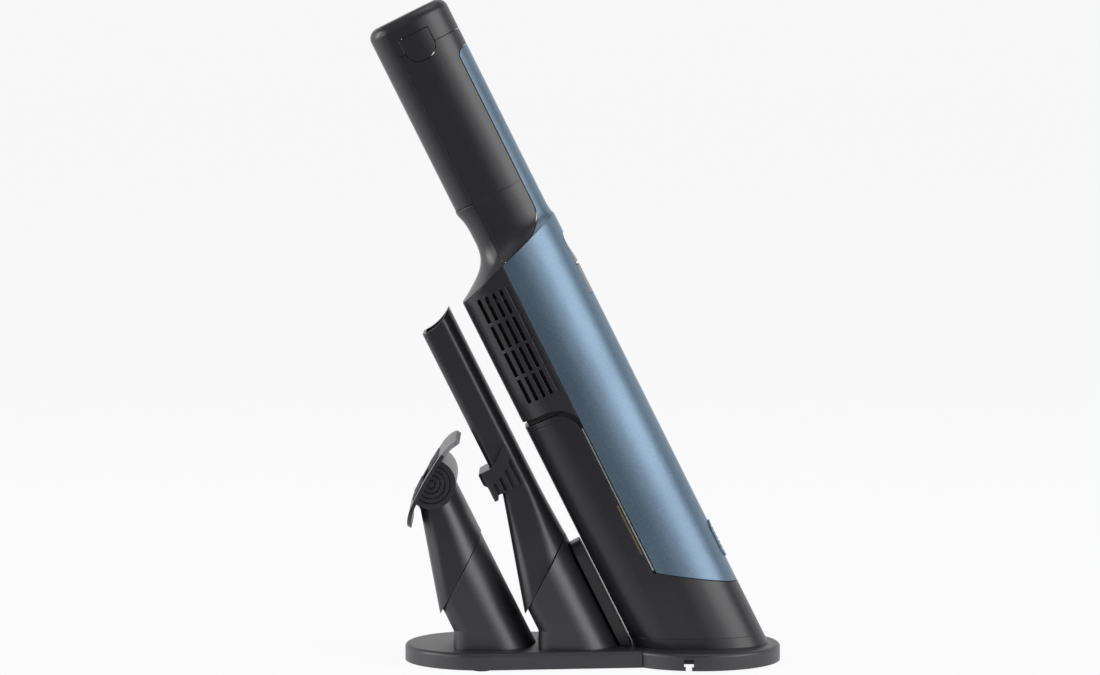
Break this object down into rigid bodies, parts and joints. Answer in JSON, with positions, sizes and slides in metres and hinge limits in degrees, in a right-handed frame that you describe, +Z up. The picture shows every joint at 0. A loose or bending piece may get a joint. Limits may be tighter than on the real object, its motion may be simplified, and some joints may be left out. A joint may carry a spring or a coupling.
{
  "type": "handheld vacuum",
  "caption": "Slim wand-shaped cordless handheld vacuum with a metallic blue shell, leaning in a flat charging dock beside a crevice tool and an upholstery tool.",
  "frame": {"origin": "on the table under the centre of the charging disc, at the middle of its central rubber pad", "axes": "+Z up; +X to the side that the wand's coloured lid faces; +Y to the back, away from the cord notch"},
  "size_m": [0.2376, 0.0952, 0.3848],
  "materials": {
    "charcoal": "satin, fine moulded grain",
    "cup": "satin, tinted, smooth",
    "dock": "matt, fine moulded grain",
    "tool": "satin",
    "blue_shell": "satin metallic blue paint",
    "button": "satin warm grey",
    "inner_plastic": "plain moulded",
    "board": "green solder mask",
    "steel": "zinc plated",
    "cell_wrap": "shrink sleeve over the cell",
    "brass": "bright plated",
    "rail": "bright drawn edge",
    "window": "tinted clear, warm grey",
    "rubber": "dull",
    "lip": "soft translucent grey",
    "filter_paper": "stiff pleated filter paper, dull",
    "foam": "open cell"
  },
  "bodies": {
    "dock": {"charging_base": "dock", "charging_base_bottom": "dock", "accessory_base": "dock", "accessory_base_bottom": "dock", "base_screws": "steel", "rubber_feet": "rubber", "dc_jack": "inner_plastic", "dock_board": "board", "upholstery_post": "dock", "crevice_post": "dock", "docking_spigot": "dock", "charge_pins": "brass", "wand_rest": "dock"},
    "dust_cup_body": {"dust_cup": "cup", "nozzle_rim": "cup", "slide_rails": "rail", "fill_windows": "window", "charge_pads": "brass", "inlet_duct": "inner_plastic", "flap_pin": "steel"},
    "flap": {"inlet_flap": "inner_plastic"},
    "main_body": {"top_shell": "blue_shell", "vent_housing": "charcoal", "handle_shell": "charcoal", "neck_cover": "charcoal", "core_frame": "inner_plastic", "shell_screws": "steel", "cup_seal": "rubber", "filter_frame": "inner_plastic", "pleated_filter": "filter_paper", "filter_screen": "steel", "motor_can": "steel", "motor_bearings": "steel", "motor_mounts": "rubber", "exhaust_foam": "foam", "control_board": "board", "push_switches": "inner_plastic", "battery_socket": "inner_plastic", "socket_blades": "brass"},
    "rotor": {"motor_shaft": "steel", "impeller": "inner_plastic"},
    "power": {"power_button": "button"},
    "boost": {"boost_button": "button"},
    "latch": {"cup_latch": "blue_shell"},
    "battery": {"battery_case": "charcoal", "battery_cells": "cell_wrap", "cell_holders": "inner_plastic", "battery_board": "board", "battery_contacts": "brass"},
    "tab_front": {"release_tab_front": "charcoal"},
    "tab_rear": {"release_tab_rear": "charcoal"},
    "crevice_tool": {"crevice_body": "tool"},
    "carriage": {"brush_carriage": "tool"},
    "upholstery_tool": {"upholstery_body": "tool", "lip_blade": "lip", "lint_pads": "rubber"}
  },
  "joints": [
    {"name": "wand_lift", "type": "slide", "parent": "dock", "child": "dust_cup_body", "axis": [-0.4462, 0, 0.8949], "range_m": [0, 0.12]},
    {"name": "cup_release", "type": "slide", "parent": "dust_cup_body", "child": "main_body", "axis": [-0.4462, 0, 0.8949], "range_m": [0, 0.15]},
    {"name": "inlet_flap_swing", "type": "hinge", "parent": "dust_cup_body", "child": "flap", "pos_m": [-0.02341, 0, 0.09474], "axis": [0, 1, 0], "range_deg": [0, 65]},
    {"name": "impeller_spin", "type": "hinge", "parent": "main_body", "child": "rotor", "pos_m": [-0.09211, 0, 0.18726], "axis": [-0.4462, 0, 0.8949], "continuous": true},
    {"name": "power_press", "type": "slide", "parent": "main_body", "child": "power", "axis": [-0.8949, 0, -0.4462], "range_m": [0, 0.0012], "stiffness_N_per_m": 1500},
    {"name": "boost_press", "type": "slide", "parent": "main_body", "child": "boost", "axis": [-0.8949, 0, -0.4462], "range_m": [0, 0.0012], "stiffness_N_per_m": 1500},
    {"name": "latch_press", "type": "slide", "parent": "main_body", "child": "latch", "axis": [-0.8949, 0, -0.4462], "range_m": [0, 0.0012], "stiffness_N_per_m": 3000},
    {"name": "battery_slide", "type": "slide", "parent": "main_body", "child": "battery", "axis": [-0.4462, 0, 0.8949], "range_m": [0, 0.13]},
    {"name": "tab_front_squeeze", "type": "hinge", "parent": "battery", "child": "tab_front", "pos_m": [-0.16503, -0.0195, 0.36544], "axis": [0.8949, 0, 0.4462], "range_deg": [0, 5], "stiffness_Nm_per_rad": 1.4},
    {"name": "tab_rear_squeeze", "type": "hinge", "parent": "battery", "child": "tab_rear", "pos_m": [-0.16503, 0.0195, 0.36544], "axis": [-0.8949, 0, -0.4462], "range_deg": [0, 5], "stiffness_Nm_per_rad": 1.4},
    {"name": "crevice_lift", "type": "slide", "parent": "dock", "child": "crevice_tool", "axis": [-0.4462, 0, 0.8949], "range_m": [0, 0.055]},
    {"name": "carriage_slide", "type": "slide", "parent": "crevice_tool", "child": "carriage", "axis": [-0.4462, 0, 0.8949], "range_m": [0, 0.045]},
    {"name": "upholstery_lift", "type": "slide", "parent": "dock", "child": "upholstery_tool", "axis": [-0.4462, 0, 0.8949], "range_m": [0, 0.08]}
  ]
}
